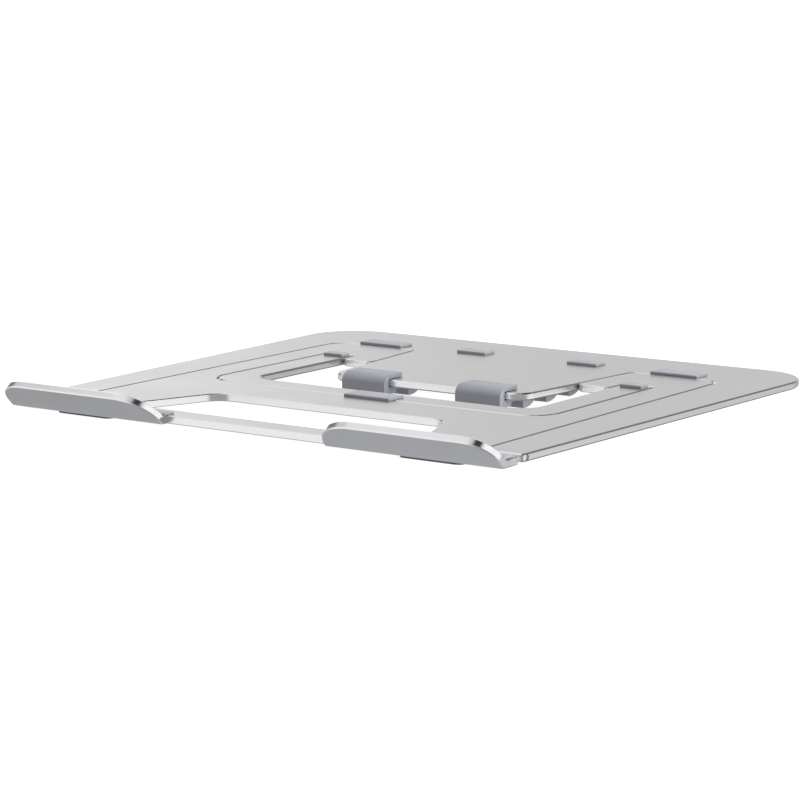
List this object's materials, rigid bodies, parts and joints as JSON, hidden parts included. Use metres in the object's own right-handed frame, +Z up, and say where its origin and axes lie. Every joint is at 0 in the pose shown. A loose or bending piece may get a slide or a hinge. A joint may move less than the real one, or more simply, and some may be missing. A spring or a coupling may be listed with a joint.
{
  "type": "laptop cooling pad",
  "caption": "Folding sheet aluminium laptop riser with open frame for passive cooling, folded flat: base with front lips, hinged platform and prop leg, silicone pads, claws and feet.",
  "frame": {"origin": "centre of the bounding box in X and Y, on the plane the feet rest on", "axes": "+X to the user's right, +Y to the back, away from the user, +Z up. The sheets rise 2 degrees to the back, because the rear feet are taller than the front feet."},
  "size_m": [0.2502, 0.2478, 0.0132],
  "materials": {
    "sheet": "satin anodised, with bright chamfered edges",
    "silicone": "matt grey silicone",
    "feet": "matt dark silicone",
    "steel": "turned steel"
  },
  "bodies": {
    "base": {"base_plate": "sheet", "lip_pad_left": "silicone", "front_foot_left": "feet", "rear_foot_left": "feet", "platform_pin_left": "steel", "leg_pin_left": "steel", "hinge_barrel_left": "steel", "lip_pad_right": "silicone", "front_foot_right": "feet", "rear_foot_right": "feet", "platform_pin_right": "steel", "leg_pin_right": "steel", "hinge_barrel_right": "steel"},
    "platform": {"platform_plate": "sheet", "claw_left": "silicone", "rear_pad_left": "silicone", "middle_pad_left": "silicone", "claw_right": "silicone", "rear_pad_right": "silicone", "middle_pad_right": "silicone"},
    "leg": {"leg_frame": "sheet", "leg_pad_front": "silicone", "leg_pad_left": "silicone", "leg_pad_right": "silicone"}
  },
  "joints": [
    {"name": "platform_hinge", "type": "hinge", "parent": "base", "child": "platform", "pos_m": [0, -0.09701, 0.00347], "axis": [1, 0, 0], "range_deg": [0, 37.5]},
    {"name": "leg_hinge", "type": "hinge", "parent": "base", "child": "leg", "pos_m": [0, 0.0499, 0.0086], "axis": [-1, 0, 0], "range_deg": [0, 80]}
  ]
}
